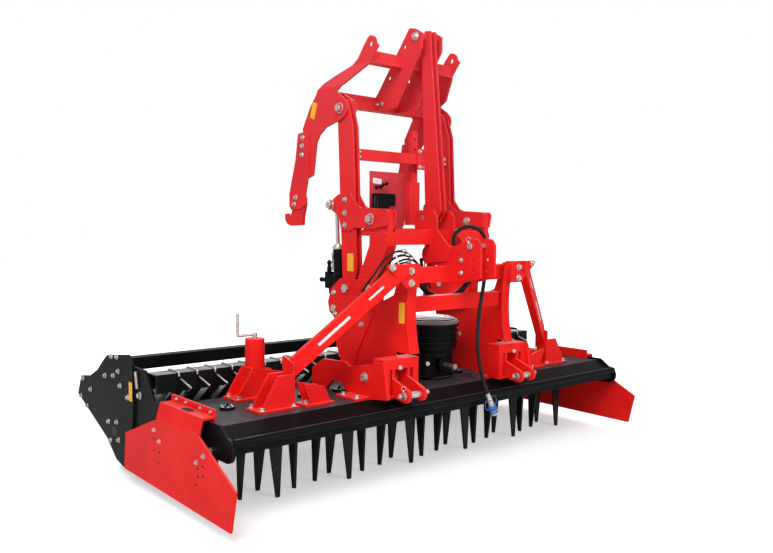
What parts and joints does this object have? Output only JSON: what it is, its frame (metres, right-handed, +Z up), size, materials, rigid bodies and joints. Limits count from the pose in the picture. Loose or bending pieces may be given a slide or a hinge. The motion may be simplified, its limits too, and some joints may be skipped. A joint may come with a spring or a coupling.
{
  "type": "vertical rotary tiller",
  "caption": "Tractor-mounted vertical rotary tiller with a gear trough, tine rotors, side deflectors, a toothed packer roller and a swinging hydraulic lift tower for a seed drill.",
  "frame": {"origin": "middle of the footprint on the ground, under the whole machine", "axes": "+X along the working width, +Y to the rear, +Z up"},
  "size_m": [3.32, 2.16, 2.738],
  "materials": {
    "red_paint": "satin",
    "dusty_black": "matte",
    "frame_black": "satin",
    "panel_red": "satin",
    "worn_steel": "rough",
    "zinc": "satin",
    "chrome_rod": "polished",
    "bright_steel": "satin",
    "hose_rubber": "matte"
  },
  "bodies": {
    "machine": {"bearing_caps": "dusty_black", "bearing_housings": "dusty_black", "brace_feet": "red_paint", "brace_left": "red_paint", "brace_right": "red_paint", "crank_handle": "zinc", "crank_post": "red_paint", "deflector_left": "red_paint", "deflector_right": "red_paint", "front_hose": "hose_rubber", "gearbox": "dusty_black", "headstock_beams": "red_paint", "headstock_left": "red_paint", "headstock_right": "red_paint", "hitch_pins": "zinc", "hose_coupler": "zinc", "lift_base_left": "red_paint", "lift_base_right": "red_paint", "lift_crossbeam": "red_paint", "lift_pins": "zinc", "lower_hitch_left": "red_paint", "lower_hitch_right": "red_paint", "roller_beam": "frame_black", "roller_frame_left": "frame_black", "roller_frame_right": "frame_black", "scraper_bar": "dusty_black", "top_hitch": "red_paint", "trough": "dusty_black", "trough_ends": "frame_black", "valve_block": "dusty_black", "valve_panel": "panel_red"},
    "lift": {"column_left": "red_paint", "column_right": "red_paint", "column_crossbar": "red_paint", "bell_plates_left": "red_paint", "bell_plates_right": "red_paint", "stop_strut": "red_paint"},
    "arms": {"arm_left": "red_paint", "arm_right": "red_paint", "arm_frame": "red_paint"},
    "centre_link": {"centre_link": "red_paint"},
    "roller": {"packer_roller": "worn_steel"},
    "drive_shaft": {"input_shaft": "bright_steel"},
    "rotor_01": {"rotor_01": "worn_steel"},
    "rotor_02": {"rotor_02": "worn_steel"},
    "rotor_03": {"rotor_03": "worn_steel"},
    "rotor_04": {"rotor_04": "worn_steel"},
    "rotor_05": {"rotor_05": "worn_steel"},
    "rotor_06": {"rotor_06": "worn_steel"},
    "rotor_07": {"rotor_07": "worn_steel"},
    "rotor_08": {"rotor_08": "worn_steel"},
    "rotor_09": {"rotor_09": "worn_steel"},
    "rotor_10": {"rotor_10": "worn_steel"},
    "rotor_11": {"rotor_11": "worn_steel"},
    "rotor_12": {"rotor_12": "worn_steel"},
    "barrel_left": {"cylinder_barrel_left": "dusty_black"},
    "rod_left": {"cylinder_rod_left": "chrome_rod"},
    "barrel_right": {"cylinder_barrel_right": "dusty_black"},
    "rod_right": {"cylinder_rod_right": "chrome_rod"}
  },
  "joints": [
    {"name": "lift_swing", "type": "hinge", "parent": "machine", "child": "lift", "pos_m": [0, -0.31, 1.112], "axis": [-1, 0, 0], "range_deg": [0, 60]},
    {"name": "arms_level", "type": "hinge", "parent": "lift", "child": "arms", "pos_m": [0, -0.252, 2.23], "axis": [-1, 0, 0], "range_deg": [-60, 0]},
    {"name": "centre_link_swing", "type": "hinge", "parent": "machine", "child": "centre_link", "pos_m": [0, -0.595, 1.558], "axis": [-1, 0, 0], "range_deg": [0, 60]},
    {"name": "roller_turn", "type": "hinge", "parent": "machine", "child": "roller", "pos_m": [0, 0.46, 0.248], "axis": [1, 0, 0], "continuous": true},
    {"name": "drive_shaft_turn", "type": "hinge", "parent": "machine", "child": "drive_shaft", "pos_m": [0.125, -0.6565, 0.61], "axis": [0, -1, 0], "continuous": true},
    {"name": "rotor_01_turn", "type": "hinge", "parent": "machine", "child": "rotor_01", "pos_m": [-1.375, -0.47, 0.25], "axis": [0, 0, 1], "continuous": true},
    {"name": "rotor_02_turn", "type": "hinge", "parent": "machine", "child": "rotor_02", "pos_m": [-1.125, -0.47, 0.25], "axis": [0, 0, 1], "continuous": true},
    {"name": "rotor_03_turn", "type": "hinge", "parent": "machine", "child": "rotor_03", "pos_m": [-0.875, -0.47, 0.25], "axis": [0, 0, 1], "continuous": true},
    {"name": "rotor_04_turn", "type": "hinge", "parent": "machine", "child": "rotor_04", "pos_m": [-0.625, -0.47, 0.25], "axis": [0, 0, 1], "continuous": true},
    {"name": "rotor_05_turn", "type": "hinge", "parent": "machine", "child": "rotor_05", "pos_m": [-0.375, -0.47, 0.25], "axis": [0, 0, 1], "continuous": true},
    {"name": "rotor_06_turn", "type": "hinge", "parent": "machine", "child": "rotor_06", "pos_m": [-0.125, -0.47, 0.25], "axis": [0, 0, 1], "continuous": true},
    {"name": "rotor_07_turn", "type": "hinge", "parent": "machine", "child": "rotor_07", "pos_m": [0.125, -0.47, 0.25], "axis": [0, 0, 1], "continuous": true},
    {"name": "rotor_08_turn", "type": "hinge", "parent": "machine", "child": "rotor_08", "pos_m": [0.375, -0.47, 0.25], "axis": [0, 0, 1], "continuous": true},
    {"name": "rotor_09_turn", "type": "hinge", "parent": "machine", "child": "rotor_09", "pos_m": [0.625, -0.47, 0.25], "axis": [0, 0, 1], "continuous": true},
    {"name": "rotor_10_turn", "type": "hinge", "parent": "machine", "child": "rotor_10", "pos_m": [0.875, -0.47, 0.25], "axis": [0, 0, 1], "continuous": true},
    {"name": "rotor_11_turn", "type": "hinge", "parent": "machine", "child": "rotor_11", "pos_m": [1.125, -0.47, 0.25], "axis": [0, 0, 1], "continuous": true},
    {"name": "rotor_12_turn", "type": "hinge", "parent": "machine", "child": "rotor_12", "pos_m": [1.375, -0.47, 0.25], "axis": [0, 0, 1], "continuous": true},
    {"name": "cylinder_left_swing", "type": "hinge", "parent": "machine", "child": "barrel_left", "pos_m": [-0.41, -0.193, 0.98], "axis": [-1, 0, 0], "range_deg": [0, 56]},
    {"name": "cylinder_left_stroke", "type": "slide", "parent": "barrel_left", "child": "rod_left", "axis": [0, 0.0596, 0.9982], "range_m": [-0.18, 0]},
    {"name": "cylinder_right_swing", "type": "hinge", "parent": "machine", "child": "barrel_right", "pos_m": [0.41, -0.193, 0.98], "axis": [-1, 0, 0], "range_deg": [0, 56]},
    {"name": "cylinder_right_stroke", "type": "slide", "parent": "barrel_right", "child": "rod_right", "axis": [0, 0.0596, 0.9982], "range_m": [-0.18, 0]}
  ],
  "couplings": [
    {"joint": "arms_level", "follows": "lift_swing", "ratio": -1},
    {"joint": "centre_link_swing", "follows": "lift_swing", "ratio": 1},
    {"joint": "drive_shaft_turn", "follows": "rotor_01_turn", "ratio": 3},
    {"joint": "rotor_02_turn", "follows": "rotor_01_turn", "ratio": -1},
    {"joint": "rotor_03_turn", "follows": "rotor_01_turn", "ratio": 1},
    {"joint": "rotor_04_turn", "follows": "rotor_01_turn", "ratio": -1},
    {"joint": "rotor_05_turn", "follows": "rotor_01_turn", "ratio": 1},
    {"joint": "rotor_06_turn", "follows": "rotor_01_turn", "ratio": -1},
    {"joint": "rotor_07_turn", "follows": "rotor_01_turn", "ratio": 1},
    {"joint": "rotor_08_turn", "follows": "rotor_01_turn", "ratio": -1},
    {"joint": "rotor_09_turn", "follows": "rotor_01_turn", "ratio": 1},
    {"joint": "rotor_10_turn", "follows": "rotor_01_turn", "ratio": -1},
    {"joint": "rotor_11_turn", "follows": "rotor_01_turn", "ratio": 1},
    {"joint": "rotor_12_turn", "follows": "rotor_01_turn", "ratio": -1},
    {"joint": "cylinder_left_swing", "follows": "lift_swing", "ratio": 0.90999},
    {"joint": "cylinder_left_stroke", "follows": "lift_swing", "m_per_rad": -0.16062},
    {"joint": "cylinder_right_swing", "follows": "lift_swing", "ratio": 0.90999},
    {"joint": "cylinder_right_stroke", "follows": "lift_swing", "m_per_rad": -0.16062}
  ]
}
